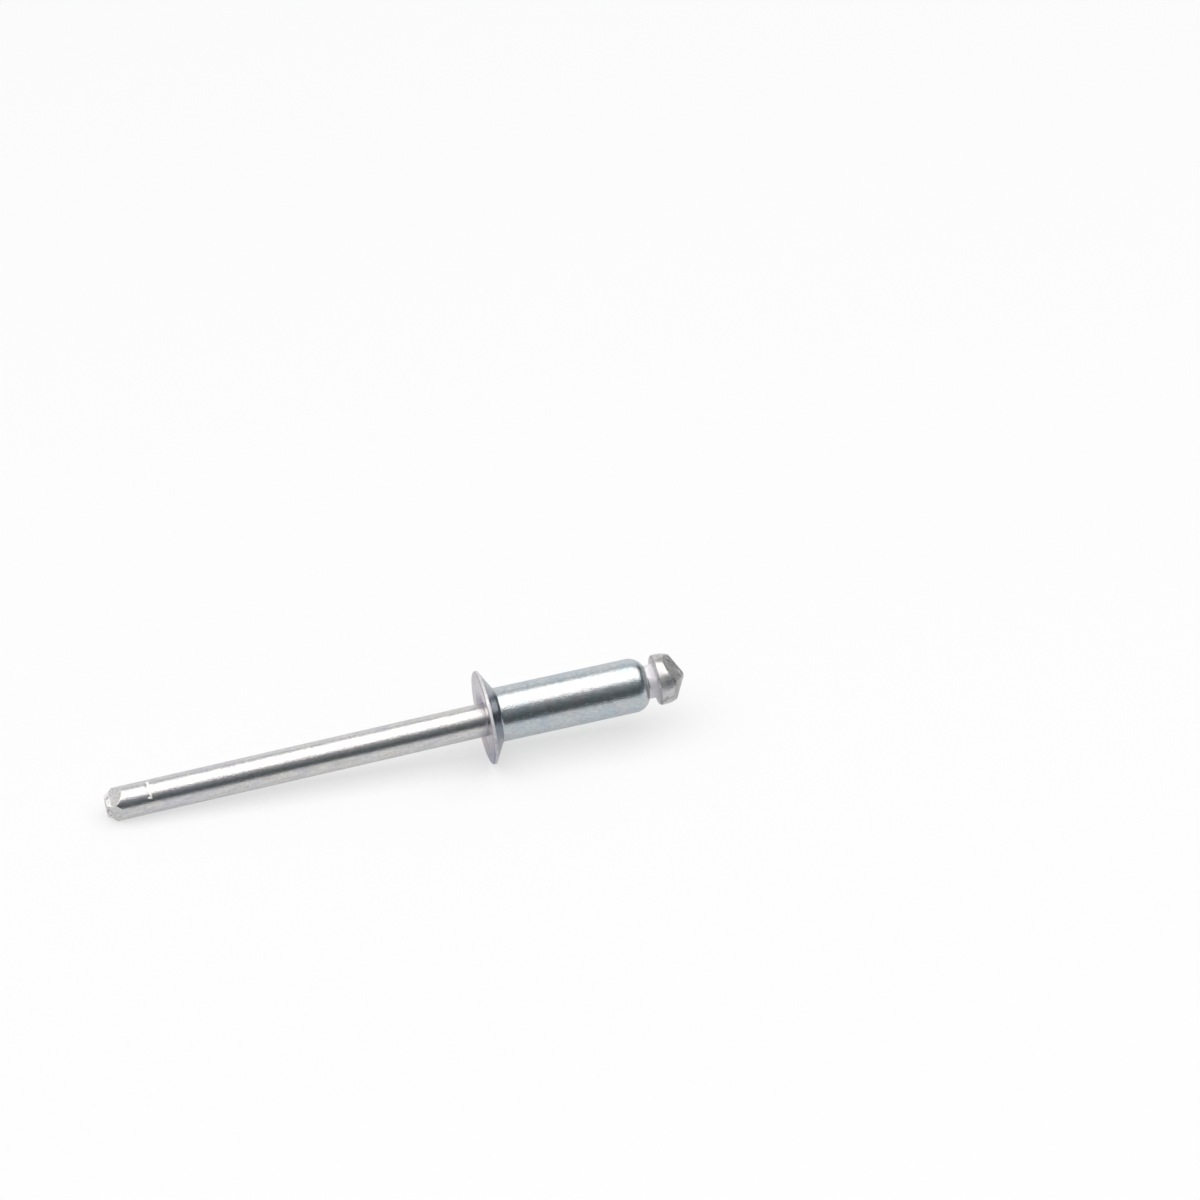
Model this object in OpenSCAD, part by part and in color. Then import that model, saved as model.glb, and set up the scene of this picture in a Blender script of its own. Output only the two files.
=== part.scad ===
// Countersunk blind rivet with its mandrel, lying as it comes to rest.
// Each piece is drawn upright on the Z axis, with the outer face of the flange at zero,
// the blind end and the mandrel's head above it and the pulling stem below it.
// The last step lays the pair down, on the rim of the flange and the tail of the stem.

/* [Body] */
// Outer diameter of the shank
shank_d = 4.0; // [3.6:0.1:4.8]
// Length of the body, from the face of the flange to the blind end
body_len = 12.4; // [8:0.1:20]
// Radius of the rounded blind end
end_round = 1.25; // [1.05:0.05:1.4]

/* [Flange] */
// Diameter of the countersunk flange
flange_d = 6.95; // [6.4:0.05:8.4]
// Thickness of the flange at its rim
rim_thickness = 0.24; // [0.2:0.01:0.35]
// Radius of the rounded edge between the flange's face and its rim
face_round = 0.14; // [0.05:0.01:0.18]
// Included angle of the countersunk seat
seat_angle = 120; // [110:2:126]
// Radius of the hollow fillet between the seat and the shank
seat_fillet = 0.3; // [0.15:0.05:0.5]
// Radius of the rounded mouth of the bore
mouth_round = 0.8; // [0.4:0.05:0.9]

/* [Mandrel] */
// Diameter of the mandrel
stem_d = 2.45; // [2:0.05:2.6]
// Length of the stem that stands out of the flange
stem_len = 28.15; // [22:0.05:34]
// Swelling of the stem inside the body, from the flange's face up to the head
stem_swell = 0.015; // [0.005:0.005:0.02]
// Clearance all round between the mandrel and the bore
bore_clearance = 0.175; // [0.1:0.025:0.25]
// Clearance all round where the blind end is closed in on the mandrel
lip_clearance = 0.05; // [0.03:0.01:0.08]

/* [Mandrel head] */
// Diameter of the head
head_d = 3.74; // [3.2:0.02:4]
// Height of the head, up to its blunted point
head_h = 2.16; // [2.1:0.02:2.4]
// Diameter at which the head's round shoulder ends, before the flats are cut
head_top_d = 0.46; // [0.3:0.02:1]
// Bevel round the underside of the head
head_bevel = 0.12; // [0.05:0.01:0.2]
// Slope of the first pair of flats on top of the head
roof_slope = 40; // [30:1:42]
// Slope of the second pair of flats, across the first
cross_slope = 35; // [22:1:42]
// Height of the sharp point that the flats would meet in, above the blunted one
point_lost = 0.1; // [0.05:0.01:0.15]
// Turn of the head about the mandrel's axis
head_turn = 14; // [0:1:179]

/* [Break neck] */
// Length of neck in sight between the blind end and the head
neck_gap = 0.55; // [0.2:0.05:1]
// Length of the four pinched flats below the head
pinch_len = 0.8; // [0.4:0.05:1.2]
// Depth of the pinched flats where they meet the head
pinch_depth = 0.18; // [0.05:0.01:0.3]

/* [Tail] */
// Width of the square tail across its flats, where the blunt tip begins
tail_w = 1.28; // [1.2:0.02:1.5]
// Slope of the four cut facets from the axis
facet_angle = 31; // [22:1:40]
// Length of the blunt sheared tip
blunt_len = 0.25; // [0.1:0.05:0.4]
// Width across the very end of the tip
blunt_w = 1.1; // [0.8:0.02:1.2]
// Turn of the tail facets about the mandrel's axis
tail_turn = 10; // [0:1:44]
// Distance of the jaw mark from the tip
jaw_mark_place = 3.1; // [2:0.05:6]
// Width of the jaw mark
jaw_mark_w = 0.3; // [0.1:0.02:0.4]
// Depth of the jaw mark
jaw_mark_depth = 0.05; // [0.02:0.01:0.08]

/* [Hidden] */
$fn = 96;

shank_r = shank_d / 2;
stem_r = stem_d / 2;
flange_r = flange_d / 2;
head_r = head_d / 2;

// Flange: half angle of the seat, and where the seat runs out on the shank
seat_half = seat_angle / 2;
seat_top = rim_thickness + (flange_r - shank_r) / tan(seat_half);

// Fillet: its centre lies on the line that halves the corner between seat and shank
corner_half = 90 - seat_half / 2;
fillet_run = seat_fillet / tan(corner_half);
fillet_centre = [shank_r + seat_fillet, seat_top + fillet_run];

// Bore: it follows the stem, and the blind end keeps the wall of the shank
bore_r = stem_r + bore_clearance;
lip_r = stem_r + lip_clearance;
wall = shank_r - bore_r;
end_centre = [shank_r - end_round, body_len - end_round];
inner_round = end_round - wall;
lip_start = end_centre[1] + sqrt(pow(inner_round, 2) - pow(lip_r - end_centre[0], 2));
lip_end = end_centre[1] + sqrt(pow(end_round, 2) - pow(lip_r - end_centre[0], 2));

// Head: its underside stands off the blind end by the neck in sight
head_base = body_len + neck_gap;
head_top = head_base + head_h;
shoulder_round = (head_d - head_top_d) / 2;
shoulder_z = head_top - shoulder_round;

// Tail: the facets run from the blunt tip up to the skin of the stem
tip_z = -stem_len;
facet_start = tip_z + blunt_len;
facet_w = tail_w / 2;
facet_rise = (stem_r - facet_w) / tan(facet_angle);
side_angles = [0, 90, 180, 270];

// Jaw mark: a shallow groove part of the way round the upper side of the stem
mark_r = (pow(jaw_mark_w / 2, 2) + pow(jaw_mark_depth, 2)) / (2 * jaw_mark_depth);
mark_from = 168;
mark_sweep = 68;

// Lean: the loose mandrel turns in the closed lip until its stem lies on the edge of the mouth
seat_gap = 0.02;
pivot_z = (lip_start + lip_end) / 2;
lean = atan((bore_clearance - seat_gap) / (pivot_z - mouth_round));

// Rest: the rim of the flange and the last of the stem's round skin touch the ground
rest_reach = stem_len - blunt_len - (stem_r * cos(tail_turn) - facet_w) / tan(facet_angle) + pivot_z;
rest_side = rest_reach * sin(lean) + stem_r * cos(lean);
rest_z = pivot_z - rest_reach * cos(lean) + stem_r * sin(lean);
tilt = atan((flange_r - rest_side) / (face_round - rest_z));
lift = flange_r * cos(tilt) - face_round * sin(tilt);

// Middle of the whole length along the ground
reach_front = pivot_z * cos(tilt) + (head_top - pivot_z) * cos(tilt + lean);
reach_back = (stem_len + pivot_z) * cos(tilt + lean) + blunt_w / 2 * sin(tilt + lean) - pivot_z * cos(tilt);
middle = (reach_front - reach_back) / 2;

// Size of the blocks that cut the flats
cut = 4 * head_d;

// Quarter of a disc, which rounds off a corner of a half section
module quarter_disc(r) {
  intersection() {
    circle(r);
    square(r);
  }
}

// Half section of the flange and shank as one solid piece, with the hollow fillet between them
module body_outline() {
  translate([flange_r - face_round, face_round])
    rotate(-90)
      quarter_disc(face_round);
  difference() {
    polygon([
      [0, 0],
      [flange_r - face_round, 0],
      [flange_r, face_round],
      [flange_r, rim_thickness],
      fillet_centre - seat_fillet * [cos(seat_half), sin(seat_half)],
      fillet_centre,
      fillet_centre - [seat_fillet, 0],
      [shank_r, end_centre[1]],
      [end_centre[0], body_len],
      [0, body_len]
    ]);
    translate(fillet_centre)
      circle(seat_fillet);
  }
  translate(end_centre)
    quarter_disc(end_round);
}

// Half section of the bore, with its rounded mouth and the closed lip at the blind end
module bore_outline() {
  square([bore_r, end_centre[1]]);
  difference() {
    translate([0, -mouth_round])
      square([bore_r + mouth_round, 2 * mouth_round]);
    translate([bore_r + mouth_round, mouth_round])
      circle(mouth_round);
  }
  intersection() {
    translate(end_centre)
      circle(inner_round);
    translate([0, end_centre[1]])
      square([bore_r, lip_start - end_centre[1]]);
  }
  square([lip_r, 2 * body_len]);
}

// Steel sleeve: flange, shank and rounded blind end
module body_upright() {
  rotate_extrude()
    difference() {
      body_outline();
      bore_outline();
    }
}

// Half space above one flat of the head's point
module roof_cut(slope) {
  translate([0, 0, head_top + point_lost])
    rotate([0, slope, 0])
      translate([-cut / 2, -cut / 2, 0])
        cube(cut);
}

// Wedge that pinches one flat into the neck, and goes on at the same slope inside the head
module pinch_cut() {
  rotate([90, 0, 0])
    linear_extrude(height = cut, center = true)
      polygon([
        [stem_r + pinch_depth, head_base - 2 * pinch_len],
        [stem_r - 2 * pinch_depth, head_base + pinch_len],
        [stem_r + pinch_depth, head_base + pinch_len]
      ]);
}

// Block that shears one facet of the tail, with the blunter slope of the tip below it
module tail_cut() {
  rotate([90, 0, 0])
    linear_extrude(height = cut, center = true)
      polygon([
        [blunt_w - facet_w, tip_z - blunt_len],
        [facet_w, facet_start],
        [2 * stem_r - facet_w, facet_start + 2 * facet_rise],
        [cut, facet_start + 2 * facet_rise],
        [cut, tip_z - blunt_len]
      ]);
}

// Shallow groove left by a jaw on the stem
module jaw_mark() {
  rotate([0, 0, mark_from])
    translate([0, 0, tip_z + jaw_mark_place])
      rotate_extrude(angle = mark_sweep)
        translate([stem_r - jaw_mark_depth + mark_r, 0])
          circle(mark_r);
}

// Half section of the head before its roof is cut: bevel, straight side and round shoulder
module head_outline() {
  polygon([
    [0, head_base],
    [head_r - head_bevel, head_base],
    [head_r, head_base + head_bevel],
    [head_r, shoulder_z],
    [head_r - shoulder_round, head_top],
    [0, head_top]
  ]);
  translate([head_r - shoulder_round, shoulder_z])
    quarter_disc(shoulder_round);
}

// Barrel shaped head with a flat underside and a blunt four sided point
module head() {
  difference() {
    rotate_extrude()
      head_outline();
    for (side = [0, 180]) {
      rotate([0, 0, head_turn + side])
        roof_cut(roof_slope);
      rotate([0, 0, head_turn + side + 90])
        roof_cut(cross_slope);
    }
  }
}

// Round stem with a four sided break neck at one end and a pinched tail at the other,
// a little thicker towards the head, as heading leaves it
module stem() {
  difference() {
    union() {
      translate([0, 0, tip_z])
        cylinder(r = stem_r, h = stem_len);
      cylinder(r1 = stem_r, r2 = stem_r + stem_swell, h = shoulder_z);
    }
    for (side = side_angles)
      rotate([0, 0, head_turn + side])
        pinch_cut();
    for (side = side_angles)
      rotate([0, 0, tail_turn + side])
        tail_cut();
    jaw_mark();
  }
}

// Steel pin, upset at one end into its head
module mandrel_upright() {
  head();
  stem();
}

// Lays an upright piece down at the rivet's angle of rest, with the ground at zero
module lay_down() {
  translate([-middle, 0, lift])
    rotate([0, 90 - tilt, 0])
      children();
}

module rivet_body() {
  color([0.72, 0.76, 0.8])
    lay_down()
      body_upright();
}

module mandrel() {
  color([0.62, 0.62, 0.6])
    lay_down()
      translate([0, 0, pivot_z])
        rotate([0, -lean, 0])
          translate([0, 0, -pivot_z])
            mandrel_upright();
}

rivet_body();
mandrel();
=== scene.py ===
import math
import bmesh
import bpy
from mathutils import Matrix, Vector


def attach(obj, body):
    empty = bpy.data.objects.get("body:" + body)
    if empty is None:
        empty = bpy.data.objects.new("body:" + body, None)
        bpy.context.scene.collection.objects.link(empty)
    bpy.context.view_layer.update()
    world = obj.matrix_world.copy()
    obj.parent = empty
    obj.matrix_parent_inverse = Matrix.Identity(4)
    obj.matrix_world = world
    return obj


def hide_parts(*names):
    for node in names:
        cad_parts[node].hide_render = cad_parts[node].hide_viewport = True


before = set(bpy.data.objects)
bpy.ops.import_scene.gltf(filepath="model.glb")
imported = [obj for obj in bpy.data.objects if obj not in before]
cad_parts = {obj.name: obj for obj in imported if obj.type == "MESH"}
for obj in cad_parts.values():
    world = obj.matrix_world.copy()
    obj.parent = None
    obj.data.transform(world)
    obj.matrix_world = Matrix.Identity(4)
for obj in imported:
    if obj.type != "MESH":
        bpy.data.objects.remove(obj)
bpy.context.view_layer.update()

print("frame loaded:", sorted(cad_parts))

mm = 0.001
allRound = 2 * math.pi

# How the rivet lies: tilts in degrees off the ground, and points of the frame in millimetres
rest = {
    "sleeveTilt": 3.6092,
    "mandrelTilt": 4.4086,
    "faceCentre": (6.5102, 0, 3.4593),   # centre of the flange's face on the sleeve's axis
    "stemCentre": (6.5218, 0, 3.2936),   # the same height on the mandrel's axis
}


def lineTo(bm, tip, r, z, parts=1):
    # carries a half section on in a straight line
    start = tip.co.copy()
    for step in range(1, parts + 1):
        tip = bmesh.ops.extrude_vert_indiv(bm, verts=[tip])["verts"][0]
        tip.co = start.lerp(Vector((r, 0, z)), step / parts)
    return tip


def arcTo(bm, tip, centre, turn, steps):
    # carries it on round a centre, in degrees from the axis outwards
    made = bmesh.ops.spin(bm, geom=[tip], cent=(centre[0], 0, centre[1]), axis=(0, 1, 0),
                          angle=math.radians(turn), steps=steps)
    return [v for v in made["geom_last"] if isinstance(v, bmesh.types.BMVert)][0]


def spinRound(bm, steps):
    # turns the half section into a closed body
    bmesh.ops.remove_doubles(bm, verts=bm.verts, dist=1e-5)
    bmesh.ops.spin(bm, geom=bm.verts[:] + bm.edges[:], cent=(0, 0, 0), axis=(0, 0, 1),
                   angle=allRound, steps=steps, use_merge=True)
    bmesh.ops.remove_doubles(bm, verts=bm.verts, dist=1e-5)
    bmesh.ops.recalc_face_normals(bm, faces=bm.faces)


def cutFlat(bm, point, normal, close=True):
    # shears off what lies beyond a plane, and closes the cut with one flat face
    made = bmesh.ops.bisect_plane(bm, geom=bm.verts[:] + bm.edges[:] + bm.faces[:], dist=1e-5,
                                  plane_co=point, plane_no=normal, clear_outer=True)
    rim = [e for e in made["geom_cut"] if isinstance(e, bmesh.types.BMEdge)]
    return bmesh.ops.edgeloop_fill(bm, edges=rim)["faces"] if close else rim


def layDown(bm, tilt, centre):
    # puts an upright piece in its place in the frame, in metres
    place = (Matrix.Scale(mm, 4) @ Matrix.Translation(centre)
             @ Matrix.Rotation(math.radians(90 - tilt), 4, "Y"))
    bmesh.ops.transform(bm, matrix=place, verts=bm.verts)


def finishPiece(bm, name, node, material, sharpAngle):
    bmesh.ops.recalc_face_normals(bm, faces=bm.faces)
    mesh = bpy.data.meshes.new(name)
    bm.to_mesh(mesh)
    bm.free()
    mesh.shade_smooth()
    mesh.set_sharp_from_angle(angle=math.radians(sharpAngle))
    piece = bpy.data.objects.new(name, mesh)
    bpy.context.scene.collection.objects.link(piece)
    mesh.materials.append(material)
    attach(piece, "root")
    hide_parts(node)
    print(name, "made with", len(mesh.polygons), "faces")


def addNode(tree, kind, inputs=None, **settings):
    # a shader node, with links or fixed values on its inputs
    node = tree.nodes.new(kind)
    for key, value in settings.items():
        setattr(node, key, value)
    for key, value in (inputs or {}).items():
        if isinstance(value, bpy.types.NodeSocket):
            tree.links.new(value, node.inputs[key])
        else:
            node.inputs[key].default_value = value
    return node


def maths(tree, operation, a, b=0.0, c=0.0):
    return addNode(tree, "ShaderNodeMath", {0: a, 1: b, 2: c}, operation=operation).outputs[0]


def mapRange(tree, value, low, high, toLow=0.0, toHigh=1.0, kind="SMOOTHSTEP"):
    return addNode(tree, "ShaderNodeMapRange", {
        "Value": value, "From Min": low, "From Max": high, "To Min": toLow, "To Max": toHigh,
    }, interpolation_type=kind).outputs["Result"]


def mixValue(tree, amount, a, b):
    return addNode(tree, "ShaderNodeMix", {0: amount, 2: a, 3: b}, data_type="FLOAT").outputs[0]


def mixColour(tree, amount, a, b):
    return addNode(tree, "ShaderNodeMix", {0: amount, 6: a, 7: b}, data_type="RGBA").outputs[2]


def splitPlace(tree, vector):
    return addNode(tree, "ShaderNodeSeparateXYZ", {0: vector}).outputs


def stretch(tree, vector, shares):
    node = addNode(tree, "ShaderNodeVectorMath", {0: vector, 1: shares}, operation="MULTIPLY")
    return node.outputs[0]


def measure(tree, operation, vector, other=(0, 0, 0)):
    # one number from a vector: its length, or its reach in some direction
    node = addNode(tree, "ShaderNodeVectorMath", {0: vector, 1: other}, operation=operation)
    return node.outputs["Value"]


def between(tree, value, low, high, soft):
    # mask that is one from low to high and fades over soft at both ends
    rise = mapRange(tree, value, low - soft, low)
    return maths(tree, "MULTIPLY", rise, mapRange(tree, value, high, high + soft, 1.0, 0.0))


def noiseValue(tree, vector, scale, detail=3.0, rough=0.5):
    return addNode(tree, "ShaderNodeTexNoise", {
        "Vector": vector, "Scale": scale, "Detail": detail, "Roughness": rough,
    }).outputs["Fac"]


def newGroup(name, inputs, outputs):
    group = bpy.data.node_groups.new(name, "ShaderNodeTree")
    for label, kind, value in inputs:
        socket = group.interface.new_socket(label, in_out="INPUT", socket_type=kind)
        if value is not None:
            socket.default_value = value
    for label, kind in outputs:
        group.interface.new_socket(label, in_out="OUTPUT", socket_type=kind)
    given = group.nodes.new("NodeGroupInput").outputs
    out = group.nodes.new("NodeGroupOutput").inputs
    return group, given, out


def useGroup(tree, group, inputs):
    return addNode(tree, "ShaderNodeGroup", inputs, node_tree=group).outputs


def makeTintDrift():
    # slow drift of colour over the metal, between its own colour and two tints
    tree, given, out = newGroup("tintDrift", [
        ("Place", "NodeSocketVector", None),
        ("Metal", "NodeSocketColor", (0.7, 0.72, 0.74, 1)),
        ("Cool Tint", "NodeSocketColor", (0.66, 0.68, 0.8, 1)),
        ("Warm Tint", "NodeSocketColor", (0.78, 0.74, 0.68, 1)),
        ("Patch Scale", "NodeSocketFloat", 0.6),
        ("Amount", "NodeSocketFloat", 0.6),
    ], [("Color", "NodeSocketColor")])
    elsewhere = (31.0, 17.0, 7.0)   # keeps the warm patches apart from the cool ones
    cool = noiseValue(tree, given["Place"], given["Patch Scale"], 4.0, 0.6)
    cool = maths(tree, "MULTIPLY", mapRange(tree, cool, 0.45, 0.66), given["Amount"])
    shifted = addNode(tree, "ShaderNodeVectorMath", {0: given["Place"], 1: elsewhere},
                      operation="ADD").outputs[0]
    warm = noiseValue(tree, shifted, given["Patch Scale"], 4.0, 0.6)
    warm = maths(tree, "MULTIPLY", mapRange(tree, warm, 0.5, 0.7), given["Amount"])
    colour = mixColour(tree, cool, given["Metal"], given["Cool Tint"])
    tree.links.new(mixColour(tree, warm, colour, given["Warm Tint"]), out["Color"])
    return tree


def makeSpeckle():
    # fine grain, and the small pits that plating and handling leave
    tree, given, out = newGroup("metalSpeckle", [
        ("Place", "NodeSocketVector", None),
        ("Grain Scale", "NodeSocketFloat", 9.0),
        ("Pit Scale", "NodeSocketFloat", 2.4),
        ("Pit Size", "NodeSocketFloat", 0.12),
    ], [("Grain", "NodeSocketFloat"), ("Pits", "NodeSocketFloat")])
    grain = noiseValue(tree, given["Place"], given["Grain Scale"], 4.0, 0.62)
    tree.links.new(mapRange(tree, grain, 0.3, 0.7), out["Grain"])
    cells = addNode(tree, "ShaderNodeTexVoronoi", {
        "Vector": given["Place"], "Scale": given["Pit Scale"], "Randomness": 1.0,
    })
    ragged = maths(tree, "MULTIPLY", noiseValue(tree, given["Place"], 6.0, 2.0), 0.2)
    reach = maths(tree, "ADD", cells.outputs["Distance"], ragged)
    pits = mapRange(tree, reach, 0.1, given["Pit Size"], 1.0, 0.0)
    # about half of the cells keep their pit
    keep = addNode(tree, "ShaderNodeSeparateColor", {"Color": cells.outputs["Color"]}).outputs[0]
    pits = maths(tree, "MULTIPLY", pits, mapRange(tree, keep, 0.45, 0.55))
    tree.links.new(pits, out["Pits"])
    return tree


def makeDrawLines():
    # long fine lines that follow the axis, as drawing or rubbing leaves them
    tree, given, out = newGroup("drawLines", [
        ("Place", "NodeSocketVector", None),
        ("Line Scale", "NodeSocketFloat", 8.0),
        ("Along", "NodeSocketVector", (0.05, 1.0, 1.0)),
    ], [("Lines", "NodeSocketFloat"), ("Streaks", "NodeSocketFloat")])
    stretched = stretch(tree, given["Place"], given["Along"])
    lines = noiseValue(tree, stretched, given["Line Scale"], 5.0, 0.65)
    tree.links.new(lines, out["Lines"])
    wider = maths(tree, "MULTIPLY", given["Line Scale"], 0.6)
    streaks = noiseValue(tree, stretched, wider, 3.0, 0.5)
    tree.links.new(mapRange(tree, streaks, 0.42, 0.66), out["Streaks"])
    return tree


def makeSlowSwell():
    # faint waves in the surface, which make the edges of reflections wander
    tree, given, out = newGroup("slowSwell", [
        ("Place", "NodeSocketVector", None),
        ("Wave Scale", "NodeSocketFloat", 0.6),
        ("Along", "NodeSocketVector", (0.6, 1.0, 1.0)),
    ], [("Height", "NodeSocketFloat")])
    stretched = stretch(tree, given["Place"], given["Along"])
    tree.links.new(noiseValue(tree, stretched, given["Wave Scale"], 2.0, 0.45), out["Height"])
    return tree


def makeFineMottle():
    # small uneven shares of brightness in a colour
    tree, given, out = newGroup("fineMottle", [
        ("Place", "NodeSocketVector", None),
        ("Color", "NodeSocketColor", (0.7, 0.7, 0.7, 1)),
        ("Mottle Scale", "NodeSocketFloat", 5.0),
        ("Detail", "NodeSocketFloat", 4.0),
        ("Roughness", "NodeSocketFloat", 0.7),
        ("Darkest", "NodeSocketFloat", 0.85),
        ("Lightest", "NodeSocketFloat", 1.1),
    ], [("Color", "NodeSocketColor")])
    patches = noiseValue(tree, given["Place"], given["Mottle Scale"], given["Detail"],
                         given["Roughness"])
    share = mapRange(tree, patches, 0.3, 0.7, given["Darkest"], given["Lightest"], "LINEAR")
    scaled = addNode(tree, "ShaderNodeVectorMath", {0: given["Color"], 3: share},
                     operation="SCALE").outputs[0]
    tree.links.new(scaled, out["Color"])
    return tree


def makeSoftCreases():
    # sharp creases catch the light as if they were rounded a little
    tree, given, out = newGroup("softCreases", [
        ("Radius", "NodeSocketFloat", 0.00005),
    ], [("Normal", "NodeSocketVector")])
    rounded = addNode(tree, "ShaderNodeBevel", {"Radius": given["Radius"]}, samples=6).outputs[0]
    tree.links.new(rounded, out["Normal"])
    return tree


def ownPlace(tree, centre, tilt):
    # the piece's own measure: millimetres, X up its axis from the flange's face
    where = addNode(tree, "ShaderNodeTexCoord").outputs["Object"]
    mapping = addNode(tree, "ShaderNodeMapping", {"Vector": where}, vector_type="TEXTURE")
    mapping.inputs["Location"].default_value = [c * mm for c in centre]
    mapping.inputs["Rotation"].default_value = (0, -math.radians(tilt), 0)
    mapping.inputs["Scale"].default_value = (mm, mm, mm)
    return mapping.outputs["Vector"]


tintDrift = makeTintDrift()
metalSpeckle = makeSpeckle()
drawLines = makeDrawLines()
slowSwell = makeSlowSwell()
fineMottle = makeFineMottle()
softCreases = makeSoftCreases()


def startMaterial(name):
    material = bpy.data.materials.new(name)
    material.use_nodes = True
    tree = material.node_tree
    shader = tree.nodes["Principled BSDF"]
    return material, tree, shader


# Sizes of both pieces are in millimetres and degrees, in the upright piece's own measure
sleeve = {
    "shankR": 2.0, "boreR": 1.4, "lipR": 1.275,
    "flangeR": 3.475, "rimThickness": 0.24, "faceRound": 0.14, "seatEdge": 0.03,
    "filletR": 0.3, "filletCentre": (2.3, 1.2648), "seatHalf": 60,
    "mouthR": 0.8, "endCentre": (0.75, 11.15), "endR": 1.25,
    "aroundSteps": 168, "sharpAngle": 35,
    "steps": {
        "face": 6, "faceRound": 9, "rim": 2, "seatEdge": 4, "seat": 8, "fillet": 10,
        "shank": 40, "end": 16, "lip": 4, "endInside": 6, "bore": 8, "mouth": 14,
    },
}

# Pairs are where a mask starts and ends: "Out" from the axis, "Along" it, "Across" the flange
zincLook = {
    "metal": (0.57, 0.61, 0.63, 1),
    "cool": (0.49, 0.57, 0.625, 1),
    "warm": (0.625, 0.585, 0.60, 1),
    "tintScale": 0.6, "tintAmount": 0.85,
    # pinkFilm is the film's own colour; shadedBlueFilm is painted shade, a dark lavender for the
    # shaded floor the lower face mirrors
    "pinkFilm": (0.51, 0.455, 0.49, 1), "shadedBlueFilm": (0.25, 0.245, 0.40, 1),
    "faceAlong": (0.05, 0.14), "filmWay": (0, 0.64, 0.77), "filmScale": 0.6, "filmWander": 1.2,
    "shadeAcross": (-1.1, -2.5), "thinScale": 0.9, "thinFilm": 0.85,
    "mouthFilm": (0.52, 0.51, 0.60, 1),
    "mouthOut": (2.0, 2.2), "mouthAlong": (0.2, 0.8), "mouthSoft": 0.15,
    # seat is painted shade: the flange's seat cone is painted darker than the metal
    "seat": (0.34, 0.36, 0.40, 1),
    "seatOut": (2.02, 2.2), "seatAlong": (0.26, 0.32), "seatShadeLeast": 0.8,
    # painted highlight: the rim is painted lighter than the metal, and near white along one side
    "rim": (0.70, 0.71, 0.74, 1), "rimHighlight": (0.98, 0.98, 1.0, 1),
    "rimOut": (3.37, 3.45), "rimAlong": (0.04, 0.1), "highlightAcross": (-0.4, 1.6), "highlightSoft": 0.9,
    "dull": (0.34, 0.37, 0.385, 1), "pitShare": 0.5, "pitDepth": -1.5,
    "smear": (0.65, 1, 1), "grainScale": 11.0, "pitScale": 2.2, "pitSize": 0.2,
    "mottleScale": 4.5, "darkest": 0.82, "lightest": 1.13,
    "roughLow": 0.07, "roughHigh": 0.17, "patchRough": 0.11, "patchScale": 2.2, "rimRough": 0.72,
    "swellScale": 0.55, "swellAlong": (0.8, 1.0, 1.0), "swellShare": 3.2,
    "grainDepth": 0.0042, "edgeSoft": 0.05,
}


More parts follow.
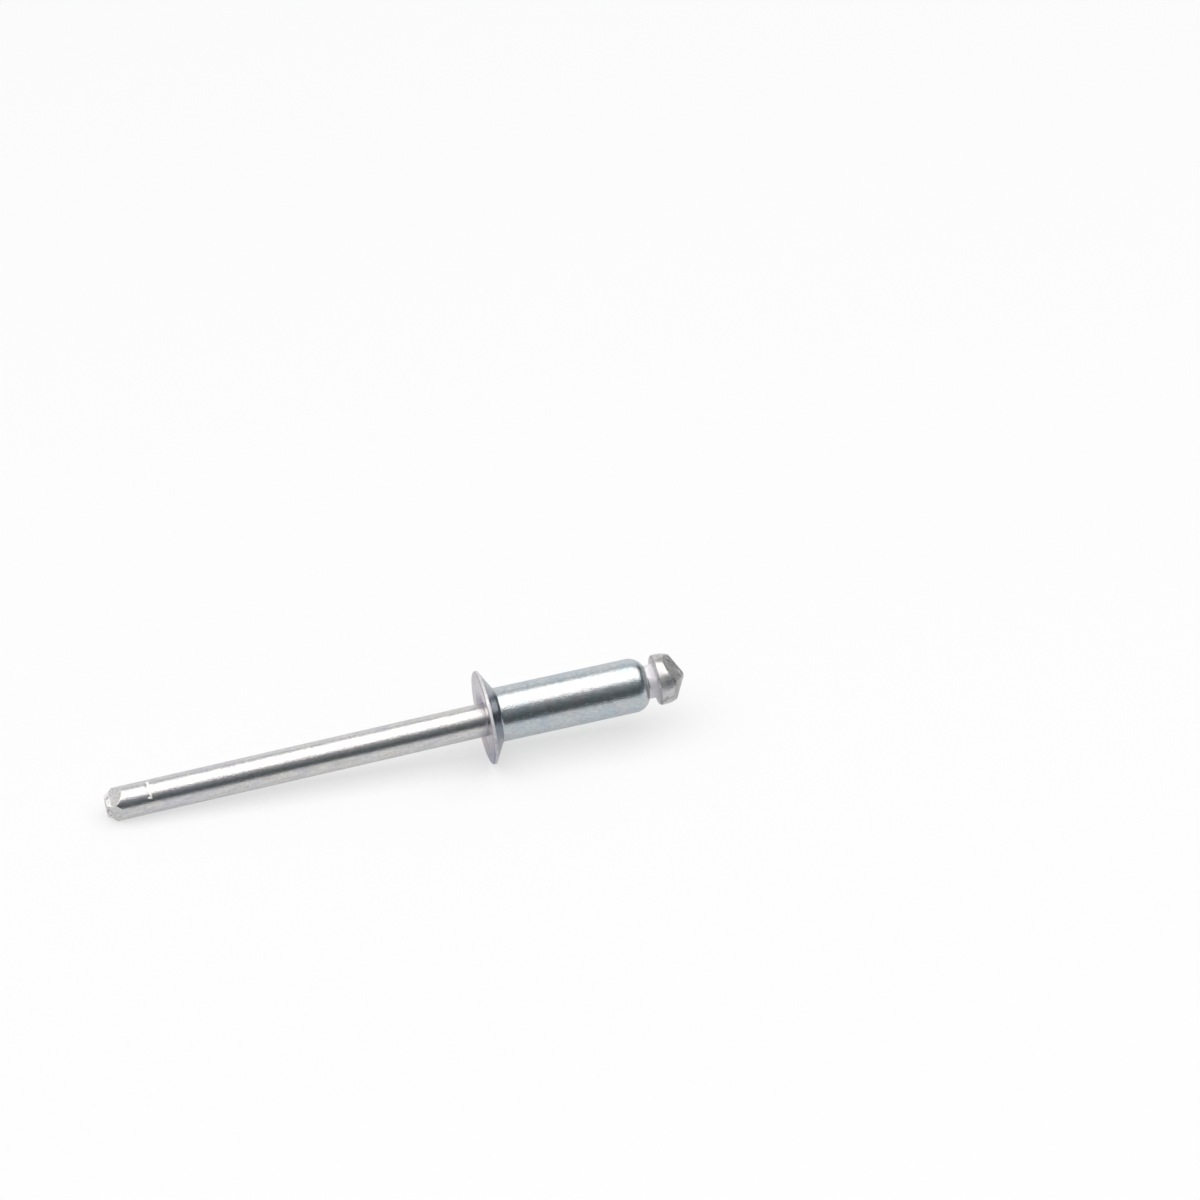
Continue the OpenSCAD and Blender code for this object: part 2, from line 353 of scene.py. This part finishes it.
def zincPlate():
    look = zincLook
    material, tree, shader = startMaterial("zincPlate")
    place = ownPlace(tree, rest["faceCentre"], rest["sleeveTilt"])
    along = splitPlace(tree, place)["X"]
    radius = measure(tree, "LENGTH", stretch(tree, place, (0, 1, 1)))
    tint = useGroup(tree, tintDrift, {
        "Place": place, "Metal": look["metal"], "Cool Tint": look["cool"],
        "Warm Tint": look["warm"], "Patch Scale": look["tintScale"], "Amount": look["tintAmount"],
    })["Color"]

    # the passivated film on the flange's face is pink; towards its lower side it is painted a dark
    # lavender, a painted reflection of the shaded floor under the rivet
    onFace = mapRange(tree, along, *look["faceAlong"], 1.0, 0.0)
    wander = noiseValue(tree, place, look["filmScale"], 3.0, 0.55)
    across = measure(tree, "DOT_PRODUCT", place, look["filmWay"])
    across = maths(tree, "MULTIPLY_ADD", wander, look["filmWander"], across)
    shadedSide = mapRange(tree, across, *look["shadeAcross"])
    filmAndShadeColour = mixColour(tree, shadedSide, look["pinkFilm"], look["shadedBlueFilm"])
    thickness = noiseValue(tree, place, look["thinScale"], 2.0)
    thickness = mapRange(tree, thickness, 0.25, 0.55, look["thinFilm"], 1.0)
    tint = mixColour(tree, maths(tree, "MULTIPLY", onFace, thickness), tint, filmAndShadeColour)
    nearBore = mapRange(tree, radius, *look["mouthOut"], 1.0, 0.0)
    inMouth = between(tree, along, *look["mouthAlong"], look["mouthSoft"])
    inMouth = maths(tree, "MULTIPLY", nearBore, inMouth)
    tint = mixColour(tree, inMouth, tint, look["mouthFilm"])

    # the seat is painted darker, as painted shade standing in for its dark reflection; the rim is
    # painted lighter, with a painted highlight along one side
    seatShadeMask = mapRange(tree, along, *look["seatAlong"])
    seatShadeMask = maths(tree, "MULTIPLY", mapRange(tree, radius, *look["seatOut"]), seatShadeMask)
    seatShadeAmount = mapRange(tree, wander, 0.2, 0.6, look["seatShadeLeast"], 1.0)
    tint = mixColour(tree, maths(tree, "MULTIPLY", seatShadeMask, seatShadeAmount), tint, look["seat"])
    # painted highlight on the rim, lighter all round and near white along one side
    onRim = mapRange(tree, along, *look["rimAlong"])
    onRim = maths(tree, "MULTIPLY", mapRange(tree, radius, *look["rimOut"]), onRim)
    highlightSide = between(tree, across, *look["highlightAcross"], look["highlightSoft"])
    rimHighlightColour = mixColour(tree, highlightSide, look["rim"], look["rimHighlight"])
    tint = mixColour(tree, onRim, tint, rimHighlightColour)

    # grain and mottle are drawn out a little along the axis
    smeared = stretch(tree, place, look["smear"])
    speckle = useGroup(tree, metalSpeckle, {
        "Place": smeared, "Grain Scale": look["grainScale"],
        "Pit Scale": look["pitScale"], "Pit Size": look["pitSize"],
    })
    pitted = maths(tree, "MULTIPLY", speckle["Pits"], look["pitShare"])
    colour = useGroup(tree, fineMottle, {
        "Place": smeared, "Color": mixColour(tree, pitted, tint, look["dull"]),
        "Mottle Scale": look["mottleScale"], "Detail": 5.0, "Roughness": 0.75,
        "Darkest": look["darkest"], "Lightest": look["lightest"],
    })["Color"]
    tree.links.new(colour, shader.inputs["Base Color"])

    rough = mapRange(tree, speckle["Grain"], 0.3, 1.0,
                     look["roughLow"], look["roughHigh"], "LINEAR")
    cloudy = noiseValue(tree, place, look["patchScale"], 4.0, 0.6)
    cloudy = mapRange(tree, cloudy, 0.42, 0.62, 0.0, look["patchRough"])
    rough = mixValue(tree, onRim, maths(tree, "ADD", rough, cloudy), look["rimRough"])
    tree.links.new(rough, shader.inputs["Roughness"])

    swell = useGroup(tree, slowSwell, {
        "Place": place, "Wave Scale": look["swellScale"], "Along": look["swellAlong"],
    })["Height"]
    height = maths(tree, "MULTIPLY_ADD", speckle["Pits"], look["pitDepth"], speckle["Grain"])
    height = maths(tree, "MULTIPLY_ADD", swell, look["swellShare"], height)
    bump = addNode(tree, "ShaderNodeBump", {
        "Strength": 1.0, "Distance": look["grainDepth"] * mm, "Height": height,
        "Normal": useGroup(tree, softCreases, {"Radius": look["edgeSoft"] * mm})["Normal"],
    })
    tree.links.new(bump.outputs["Normal"], shader.inputs["Normal"])
    shader.inputs["Metallic"].default_value = 1.0
    return material


def makeSleeve():
    s = sleeve
    steps = s["steps"]
    bm = bmesh.new()
    start = bm.verts.new((s["boreR"] + s["mouthR"], 0, 0))
    half = math.radians(s["seatHalf"])
    tip = lineTo(bm, start, s["flangeR"] - s["faceRound"], 0, steps["face"])
    faceCorner = (s["flangeR"] - s["faceRound"], s["faceRound"])
    tip = arcTo(bm, tip, faceCorner, -90, steps["faceRound"])
    # the rim meets a small round edge, which runs out on the seat
    edgeDrop = s["seatEdge"] * (1 - math.cos(half)) / math.sin(half)
    tip = lineTo(bm, tip, s["flangeR"], s["rimThickness"] - edgeDrop, steps["rim"])
    rimCorner = (s["flangeR"] - s["seatEdge"], tip.co.z)
    tip = arcTo(bm, tip, rimCorner, -s["seatHalf"], steps["seatEdge"])
    fillet = s["filletCentre"]
    tip = lineTo(bm, tip, fillet[0] - s["filletR"] * math.cos(half),
                 fillet[1] - s["filletR"] * math.sin(half), steps["seat"])
    tip = arcTo(bm, tip, fillet, s["seatHalf"], steps["fillet"])
    end = s["endCentre"]
    tip = lineTo(bm, tip, s["shankR"], end[1], steps["shank"])
    lipUp = math.degrees(math.acos((s["lipR"] - end[0]) / s["endR"]))
    tip = arcTo(bm, tip, end, -lipUp, steps["end"])
    innerR = s["boreR"] - end[0]
    innerUp = math.degrees(math.acos((s["lipR"] - end[0]) / innerR))
    lipStart = end[1] + innerR * math.sin(math.radians(innerUp))
    tip = lineTo(bm, tip, s["lipR"], lipStart, steps["lip"])
    tip = arcTo(bm, tip, end, innerUp, steps["endInside"])
    tip = lineTo(bm, tip, s["boreR"], s["mouthR"], steps["bore"])
    arcTo(bm, tip, (s["boreR"] + s["mouthR"], s["mouthR"]), -90, steps["mouth"])
    spinRound(bm, s["aroundSteps"])
    layDown(bm, rest["sleeveTilt"], rest["faceCentre"])
    finishPiece(bm, "zincSleeve", "rivet_body", zincPlate(), s["sharpAngle"])


mandrel = {
    "stemR": 1.225, "swell": 0.015, "tip": -28.15,
    "headBase": 12.95, "headTop": 15.11, "headR": 1.87, "headBevel": 0.12,
    "shoulderR": 1.64, "pointLost": 0.1, "headTurn": 14, "roofSlope": 40, "crossSlope": 35,
    "pinchLength": 0.8, "pinchDepth": 0.18, "neckOverrun": 0.3,
    "tailHalf": 0.64, "bluntLength": 0.25, "bluntHalf": 0.55, "facetAngle": 31, "tailTurn": 10,
    "markPlace": -25.05, "markHalf": 0.15, "markDepth": 0.05, "markFrom": 168, "markTo": 236,
    "markFade": 6, "markMargin": 0.1,
    "aroundSteps": 144, "sharpAngle": 12,
    "steps": {"mark": 40, "stem": 30, "swell": 8, "headSide": 3, "shoulder": 24},
}

# Pairs are where a mask starts and ends: "Past" the foot of the head, "Beside" the jaw mark
steelLook = {
    "metal": (0.685, 0.68, 0.67, 1),
    "cool": (0.64, 0.64, 0.69, 1),
    "warm": (0.705, 0.69, 0.645, 1),
    "tintScale": 0.5, "tintAmount": 0.7,
    "dull": (0.43, 0.42, 0.45, 1), "streakShare": 0.3, "pitShare": 0.45,
    "grainScale": 11.0, "pitScale": 2.0, "pitSize": 0.17,
    "drawnScale": 8.0, "drawnAlong": (0.16, 1.0, 1.0),
    "groundScale": 6.0, "groundAlong": (1.0, 0.3, 3.0),
    "mottleScale": 5.0, "darkest": 0.86, "lightest": 1.12,
    "flatDark": (0.33, 0.325, 0.32, 1), "flatLight": (0.60, 0.595, 0.585, 1),
    "headDark": (0.30, 0.295, 0.29, 1), "headLight": (0.90, 0.89, 0.87, 1),
    "blotchScale": 1.0, "shadyShare": 0.7, "rubbedShare": 0.75,
    # bevelPast and bevelShade place and set painted shade on the bevel under the head
    "bevelPast": (0.04, 0.12), "bevelShade": 0.65, "headDull": 0.15,
    "neckLight": (0.88, 0.88, 0.91, 1), "neckLength": 0.55, "neckSoft": 0.1, "headSoft": 0.03,
    "tipDark": (0.44, 0.44, 0.445, 1), "tipLight": (0.85, 0.85, 0.84, 1),
    "tornScale": 4.5, "tipEnd": (0.22, 0.4),
    # painted highlight and painted shade at the jaw mark
    "markHighlight": (0.97, 0.97, 0.97, 1), "markShade": (0.2, 0.2, 0.21, 1),
    "burrBeside": (0.1, 0.18), "burrSoft": 0.08,
    "grooveBeside": (-0.06, 0.06), "grooveSoft": 0.04, "grooveShare": 0.2,
    "markAbove": (0.6, 0.72), "markNear": (0.2, 0.4),
    "roughLow": 0.11, "roughHigh": 0.27,
    "headRoughLow": 0.26, "headRoughHigh": 0.5, "neckRough": 0.72, "tipRough": 0.62,
    "swellScale": 0.7, "swellAlong": (0.6, 1.0, 1.0), "swellShare": 2.5,
    "grainShare": 1.4, "headShare": 2.6, "tornShare": 5.0,
    "lumpScale": 1.25, "lumpShare": 17.0,
    "lineDepth": 0.0035, "edgeSoft": 0.09,
}


def groundMarks(tree, place, along):
    # marks on the head's four flats, which run straight down each of them
    m = mandrel
    turn = math.radians(m["headTurn"])
    first = measure(tree, "DOT_PRODUCT", place, (0, math.sin(turn), -math.cos(turn)))
    second = measure(tree, "DOT_PRODUCT", place, (0, math.cos(turn), math.sin(turn)))
    firstDrop = maths(tree, "ABSOLUTE", first)
    firstDrop = maths(tree, "MULTIPLY", firstDrop, math.tan(math.radians(m["roofSlope"])))
    secondDrop = maths(tree, "ABSOLUTE", second)
    secondDrop = maths(tree, "MULTIPLY", secondDrop, math.tan(math.radians(m["crossSlope"])))
    onFirst = maths(tree, "GREATER_THAN", firstDrop, secondDrop)
    aside = mixValue(tree, onFirst, first, second)
    flatPlace = addNode(tree, "ShaderNodeCombineXYZ", {0: aside, 1: along, 2: onFirst}).outputs[0]
    return useGroup(tree, drawLines, {
        "Place": flatPlace, "Line Scale": steelLook["groundScale"],
        "Along": steelLook["groundAlong"],
    })["Lines"]


def besideMark(tree, along, span, soft):
    low, high = (mandrel["markPlace"] + edge for edge in span)
    return between(tree, along, low, high, soft)


def brightSteel():
    look = steelLook
    m = mandrel
    material, tree, shader = startMaterial("brightSteel")
    place = ownPlace(tree, rest["stemCentre"], rest["mandrelTilt"])
    own = splitPlace(tree, place)
    foot, soft = m["headBase"], look["headSoft"]
    onHead = mapRange(tree, own["X"], foot - soft, foot + soft)
    onNeck = between(tree, own["X"], foot - look["neckLength"], foot - soft, look["neckSoft"])
    onTip = mapRange(tree, own["X"], *(m["tip"] + end for end in look["tipEnd"]), 1.0, 0.0)
    onFlats = addNode(tree, "ShaderNodeAttribute", attribute_name="groundFlat").outputs["Fac"]
    tint = useGroup(tree, tintDrift, {
        "Place": place, "Metal": look["metal"], "Cool Tint": look["cool"],
        "Warm Tint": look["warm"], "Patch Scale": look["tintScale"], "Amount": look["tintAmount"],
    })["Color"]
    speckle = useGroup(tree, metalSpeckle, {
        "Place": place, "Grain Scale": look["grainScale"],
        "Pit Scale": look["pitScale"], "Pit Size": look["pitSize"],
    })
    drawn = useGroup(tree, drawLines, {
        "Place": place, "Line Scale": look["drawnScale"], "Along": look["drawnAlong"],
    })
    ground = groundMarks(tree, place, own["X"])

    # the drawn wire, with its streaks, pits and mottle
    streaked = maths(tree, "MULTIPLY", drawn["Streaks"], look["streakShare"])
    colour = mixColour(tree, streaked, tint, look["dull"])
    pitted = maths(tree, "MULTIPLY", speckle["Pits"], look["pitShare"])
    colour = useGroup(tree, fineMottle, {
        "Place": place, "Color": mixColour(tree, pitted, colour, look["dull"]),
        "Mottle Scale": look["mottleScale"], "Detail": 4.0, "Roughness": 0.7,
        "Darkest": look["darkest"], "Lightest": look["lightest"],
    })["Color"]

    # the pressed neck and the torn tip
    colour = mixColour(tree, onNeck, colour, look["neckLight"])
    torn = mapRange(tree, noiseValue(tree, place, look["tornScale"], 3.0, 0.6), 0.4, 0.52)
    torn = mixColour(tree, torn, look["tipDark"], look["tipLight"])
    colour = mixColour(tree, onTip, colour, torn)

    # the head is a little duller all over, its lower bevel is painted darker as painted shade in
    # the crease under the head, and its flats are rough ground
    bevelShadeMask = between(tree, own["X"], *(foot + edge for edge in look["bevelPast"]), soft)
    dullAndBevelShade = maths(tree, "MULTIPLY_ADD", bevelShadeMask, look["bevelShade"], look["headDull"])
    colour = mixColour(tree, onHead, colour, mixColour(tree, dullAndBevelShade, tint, look["dull"]))
    flats = mapRange(tree, ground, 0.3, 0.7)
    flats = mixColour(tree, flats, look["flatDark"], look["flatLight"])
    colour = mixColour(tree, onFlats, colour, flats)

    # handling leaves the head blotched, dark in some places and rubbed bright in others
    blotch = noiseValue(tree, place, look["blotchScale"], 4.0, 0.6)
    shady = mapRange(tree, blotch, 0.46, 0.36, 0.0, look["shadyShare"])
    rubbed = mapRange(tree, blotch, 0.54, 0.62, 0.0, look["rubbedShare"])
    colour = mixColour(tree, maths(tree, "MULTIPLY", onHead, shady), colour, look["headDark"])
    colour = mixColour(tree, maths(tree, "MULTIPLY", onHead, rubbed), colour, look["headLight"])

    # at the jaw mark, painted shade darkens its groove a little, and a painted highlight runs along
    # its edge where a burr would catch the light
    onMark = mapRange(tree, own["Y"], *look["markNear"], 1.0, 0.0)
    onMark = maths(tree, "MULTIPLY", mapRange(tree, own["Z"], *look["markAbove"]), onMark)
    burrHighlight = besideMark(tree, own["X"], look["burrBeside"], look["burrSoft"])
    burrHighlight = maths(tree, "MULTIPLY", onMark, burrHighlight)
    groove = besideMark(tree, own["X"], look["grooveBeside"], look["grooveSoft"])
    groove = maths(tree, "MULTIPLY", onMark, groove)
    groove = maths(tree, "MULTIPLY", groove, look["grooveShare"])
    colour = mixColour(tree, burrHighlight, colour, look["markHighlight"])
    colour = mixColour(tree, groove, colour, look["markShade"])
    tree.links.new(colour, shader.inputs["Base Color"])

    worn = maths(tree, "MULTIPLY", drawn["Streaks"], 0.25)
    worn = maths(tree, "MULTIPLY_ADD", speckle["Grain"], 0.75, worn)
    rough = mapRange(tree, worn, 0.3, 0.95, look["roughLow"], look["roughHigh"], "LINEAR")
    headRough = mapRange(tree, speckle["Grain"], 0.0, 1.0,
                         look["headRoughLow"], look["headRoughHigh"], "LINEAR")
    rough = mixValue(tree, onHead, rough, headRough)
    rough = mixValue(tree, onNeck, rough, look["neckRough"])
    rough = mixValue(tree, maths(tree, "MAXIMUM", onTip, burrHighlight), rough, look["tipRough"])
    tree.links.new(rough, shader.inputs["Roughness"])

    # relief: lines and grain on the wire, lumps and marks on the head, tears at the tip
    swell = useGroup(tree, slowSwell, {
        "Place": place, "Wave Scale": look["swellScale"], "Along": look["swellAlong"],
    })["Height"]
    lumps = useGroup(tree, slowSwell, {
        "Place": place, "Wave Scale": look["lumpScale"], "Along": (1.0, 1.0, 1.0),
    })["Height"]
    height = maths(tree, "MULTIPLY_ADD", speckle["Grain"], look["grainShare"], drawn["Lines"])
    height = maths(tree, "SUBTRACT", height, speckle["Pits"])
    rugged = maths(tree, "MULTIPLY", lumps, look["lumpShare"])
    rugged = maths(tree, "MULTIPLY_ADD", ground, look["headShare"], rugged)
    height = mixValue(tree, onHead, height, rugged)
    tears = maths(tree, "MULTIPLY", onTip, speckle["Grain"])
    height = maths(tree, "MULTIPLY_ADD", tears, look["tornShare"], height)
    height = maths(tree, "MULTIPLY_ADD", swell, look["swellShare"], height)
    bump = addNode(tree, "ShaderNodeBump", {
        "Strength": 1.0, "Distance": look["lineDepth"] * mm, "Height": height,
        "Normal": useGroup(tree, softCreases, {"Radius": look["edgeSoft"] * mm})["Normal"],
    })
    tree.links.new(bump.outputs["Normal"], shader.inputs["Normal"])
    shader.inputs["Metallic"].default_value = 1.0
    return material


def sideWay(degrees, rise):
    # a direction out from the axis, tipped up along it by rise degrees
    turn, up = math.radians(degrees), math.radians(rise)
    return Vector((math.cos(turn) * math.cos(up), math.sin(turn) * math.cos(up), math.sin(up)))


def pressJawMark(bm):
    # shallow groove part of the way round, left by a jaw
    m = mandrel
    for v in bm.verts:
        off = abs(v.co.z - m["markPlace"]) / m["markHalf"]
        if off >= 1:
            continue
        turn = math.degrees(math.atan2(v.co.y, v.co.x)) % 360
        inside = min(turn - m["markFrom"], m["markTo"] - turn) / m["markFade"]
        if inside <= 0:
            continue
        depth = m["markDepth"] * (1 - off ** 2) * min(1, inside)
        bmesh.ops.scale(bm, vec=[1 - depth / m["stemR"]] * 2 + [1], verts=[v])


def makeStem():
    m = mandrel
    steps = m["steps"]
    bm = bmesh.new()
    bm.faces.layers.float.new("groundFlat")
    tip = bm.verts.new((0, 0, m["tip"]))
    tip = lineTo(bm, tip, m["stemR"], m["tip"])
    reach = m["markHalf"] + m["markMargin"]
    tip = lineTo(bm, tip, m["stemR"], m["markPlace"] - reach)
    tip = lineTo(bm, tip, m["stemR"], m["markPlace"] + reach, steps["mark"])
    tip = lineTo(bm, tip, m["stemR"], 0, steps["stem"])
    # above the flange's face it swells, and it is cut off later at the foot of the head
    top = m["headBase"] + m["neckOverrun"]
    share = top / (m["headTop"] - m["shoulderR"])
    tip = lineTo(bm, tip, m["stemR"] + m["swell"] * share, top, steps["swell"])
    lineTo(bm, tip, 0, top)
    spinRound(bm, m["aroundSteps"])
    pressJawMark(bm)
    # the tail: four sheared facets, then the blunter slope at the very tip
    tipStart = Vector((0, 0, m["tip"] + m["bluntLength"]))
    for side in (0, 90, 180, 270):
        turn = m["tailTurn"] + side
        flatMiddle = tipStart + sideWay(turn, 0) * m["tailHalf"]
        cutFlat(bm, flatMiddle, sideWay(turn, -m["facetAngle"]))
    rim = cutFlat(bm, tipStart, (0, 0, -1), close=False)
    pulled = bmesh.ops.extrude_edge_only(bm, edges=rim)["geom"]
    ends = [v for v in pulled if isinstance(v, bmesh.types.BMVert)]
    share = m["bluntHalf"] / m["tailHalf"]
    bmesh.ops.scale(bm, vec=(share, share, 1), verts=ends)
    bmesh.ops.translate(bm, vec=(0, 0, -m["bluntLength"]), verts=ends)
    bmesh.ops.edgeloop_fill(bm, edges=[e for e in pulled if isinstance(e, bmesh.types.BMEdge)])
    # the break neck: four flats pinched in towards the head
    pinchAngle = math.degrees(math.atan2(m["pinchDepth"], m["pinchLength"]))
    for side in (0, 90, 180, 270):
        turn = m["headTurn"] + side
        deep = sideWay(turn, 0) * (m["stemR"] - m["pinchDepth"])
        deep.z = m["headBase"]
        cutFlat(bm, deep, sideWay(turn, pinchAngle))
    cutFlat(bm, (0, 0, m["headBase"]), (0, 0, 1), close=False)
    return bm


def makeHead(bm):
    # spun barrel with a round shoulder, whose top is then cut to four flats
    m = mandrel
    steps = m["steps"]
    head = bmesh.new()
    tip = head.verts.new((m["headR"] - m["headBevel"], 0, m["headBase"]))
    tip = lineTo(head, tip, m["headR"], m["headBase"] + m["headBevel"])
    shoulder = (m["headR"] - m["shoulderR"], m["headTop"] - m["shoulderR"])
    tip = lineTo(head, tip, m["headR"], shoulder[1], steps["headSide"])
    tip = arcTo(head, tip, shoulder, -90, steps["shoulder"])
    lineTo(head, tip, 0, m["headTop"])
    spinRound(head, m["aroundSteps"])
    groundFlat = head.faces.layers.float.new("groundFlat")
    point = (0, 0, m["headTop"] + m["pointLost"])
    slopes = {0: m["roofSlope"], 180: m["roofSlope"], 90: m["crossSlope"], 270: m["crossSlope"]}
    for side, slope in slopes.items():
        for face in cutFlat(head, point, sideWay(m["headTurn"] + side, 90 - slope)):
            face[groundFlat] = 1.0
    mesh = bpy.data.meshes.new("headShape")
    head.to_mesh(mesh)
    head.free()
    bm.from_mesh(mesh)
    bpy.data.meshes.remove(mesh)


def makeMandrel():
    bm = makeStem()
    makeHead(bm)
    # the neck's open end joins the ring under the head
    openEdges = [e for e in bm.edges if e.is_boundary]
    bmesh.ops.bridge_loops(bm, edges=openEdges)
    layDown(bm, rest["mandrelTilt"], rest["stemCentre"])
    finishPiece(bm, "steelMandrel", "mandrel", brightSteel(), mandrel["sharpAngle"])


makeSleeve()
makeMandrel()


# Lengths are in metres. Pairs are where a mask starts and ends, the box's in shares of its height
studio = {
    "floorSize": 6.0, "floorColour": (0.42, 0.42, 0.423, 1),
    "floorGlow": 0.58, "floorMirrored": 0.43,   # glow that the camera sees, and that metal mirrors
    "frontDark": (0.12, 0.126, 0.13, 1), "frontFrom": -0.023, "frontTo": -0.062,
    "boxHeight": 0.5, "boxDepth": 0.613, "boxLength": 1.2, "boxAhead": -0.084,
    "boxPower": 3.0,
    "boxWhite": (2.05, 1.97, 1.92, 1),
    "boxFront": (-0.68, -0.32), "boxBack": (0.60, 0.76),
    "boxRight": (0.85, 1.6), "boxLeft": (-3.2, -2.6),
    "darkSide": (0.12, 0.134, 0.138, 1), "darkTop": (0.36, 0.37, 0.38, 1), "topStart": (0.35, 0.85),
    "wall": (0.92, 0.925, 0.93, 1), "strip": (0.62, 0.63, 0.635, 1), "stripEnd": (1.0, 1.7),
    "backStart": (-0.3, 0.0),
    "rightDark": (0.165, 0.175, 0.185, 1), "rightStart": (0.5, 0.72),
    "fill": (0.4, 0.4, 0.405, 1),
}

# The photograph's view, with target and distance in millimetres
view = {
    "target": (19.235, 14.987, 0), "distance": 516, "ahead": (0.19518, 0.74665, -0.63594),
    "lens": 206.2, "sensor": 36, "nearest": 0.01, "furthest": 20,
}


def makeFloor():
    bm = bmesh.new()
    bmesh.ops.create_grid(bm, x_segments=1, y_segments=1, size=studio["floorSize"] / 2)
    mesh = bpy.data.meshes.new("paleFloor")
    bm.to_mesh(mesh)
    bm.free()
    floor = bpy.data.objects.new("paleFloor", mesh)
    bpy.context.scene.collection.objects.link(floor)
    material, tree, shader = startMaterial("palePaper")
    shader.inputs["Roughness"].default_value = 1.0
    shader.inputs["Specular IOR Level"].default_value = 0.0
    shader.inputs["Emission Color"].default_value = (1, 1, 1, 1)
    ray = addNode(tree, "ShaderNodeLightPath").outputs
    # the table ends in front, so metal mirrors the dark room beyond it
    where = addNode(tree, "ShaderNodeTexCoord").outputs["Object"]
    ahead = splitPlace(tree, where)["Y"]
    beyond = mapRange(tree, ahead, studio["frontTo"], studio["frontFrom"], 1.0, 0.0)
    beyond = maths(tree, "MULTIPLY", beyond, ray["Is Glossy Ray"])
    paper = mixColour(tree, beyond, studio["floorColour"], studio["frontDark"])
    tree.links.new(paper, shader.inputs["Base Color"])
    mirrored = maths(tree, "SUBTRACT", ray["Is Glossy Ray"], beyond)
    mirrored = maths(tree, "MULTIPLY", mirrored, studio["floorMirrored"])
    glow = maths(tree, "MULTIPLY_ADD", ray["Is Camera Ray"], studio["floorGlow"], mirrored)
    tree.links.new(glow, shader.inputs["Emission Strength"])
    mesh.materials.append(material)


def makeWorld():
    world = bpy.data.worlds.new("paleStudio")
    bpy.context.scene.world = world
    world.use_nodes = True
    tree = world.node_tree
    tree.nodes.clear()
    ray = addNode(tree, "ShaderNodeLightPath").outputs
    way = splitPlace(tree, addNode(tree, "ShaderNodeTexCoord").outputs["Generated"])
    # where a mirrored ray meets the soft box, in shares of its height above the part
    height = maths(tree, "MAXIMUM", way["Z"], 0.001)
    ahead = maths(tree, "DIVIDE", way["Y"], height)
    aside = maths(tree, "DIVIDE", way["X"], height)
    inBox = mapRange(tree, ahead, *studio["boxFront"])
    for fade in (mapRange(tree, ahead, *studio["boxBack"], 1.0, 0.0),
                 mapRange(tree, aside, *studio["boxRight"], 1.0, 0.0),
                 mapRange(tree, aside, *studio["boxLeft"])):
        inBox = maths(tree, "MULTIPLY", inBox, fade)
    # a dark room in front and to the right, and a pale wall behind
    upward = mapRange(tree, way["Z"], *studio["topStart"])
    dark = mixColour(tree, upward, studio["darkSide"], studio["darkTop"])
    pastStrip = mapRange(tree, ahead, *studio["stripEnd"])
    behind = mixColour(tree, pastStrip, studio["strip"], studio["wall"])
    room = mixColour(tree, mapRange(tree, way["Y"], *studio["backStart"]), dark, behind)
    toRight = mapRange(tree, way["X"], *studio["rightStart"])
    room = mixColour(tree, toRight, room, studio["rightDark"])
    room = mixColour(tree, inBox, room, studio["boxWhite"])
    # metal mirrors the room, the camera sees white, and the rest is plain soft light
    lit = mixColour(tree, ray["Is Glossy Ray"], studio["fill"], room)
    seen = mixColour(tree, ray["Is Camera Ray"], lit, (1, 1, 1, 1))
    sky = addNode(tree, "ShaderNodeBackground", {"Color": seen, "Strength": 1.0})
    tree.links.new(sky.outputs[0], addNode(tree, "ShaderNodeOutputWorld").inputs["Surface"])


def makeSoftBox():
    lamp = bpy.data.lights.new("softBox", "AREA")
    lamp.shape = "RECTANGLE"
    lamp.size = studio["boxLength"]
    lamp.size_y = studio["boxDepth"]
    lamp.energy = studio["boxPower"]
    box = bpy.data.objects.new("softBox", lamp)
    box.location = (0, studio["boxAhead"], studio["boxHeight"])
    box.visible_glossy = False
    bpy.context.scene.collection.objects.link(box)


def makeCamera():
    cam = bpy.data.cameras.new("photoView")
    cam.lens = view["lens"]
    cam.sensor_width = view["sensor"]
    cam.clip_start = view["nearest"]
    cam.clip_end = view["furthest"]
    ahead = Vector(view["ahead"]).normalized()
    holder = bpy.data.objects.new("photoView", cam)
    holder.location = (Vector(view["target"]) - ahead * view["distance"]) * mm
    holder.rotation_euler = ahead.to_track_quat("-Z", "Y").to_euler()
    bpy.context.scene.collection.objects.link(holder)
    bpy.context.scene.camera = holder


makeFloor()
makeWorld()
makeSoftBox()
makeCamera()
bpy.context.scene.view_settings.view_transform = "Standard"
print("studio ready")
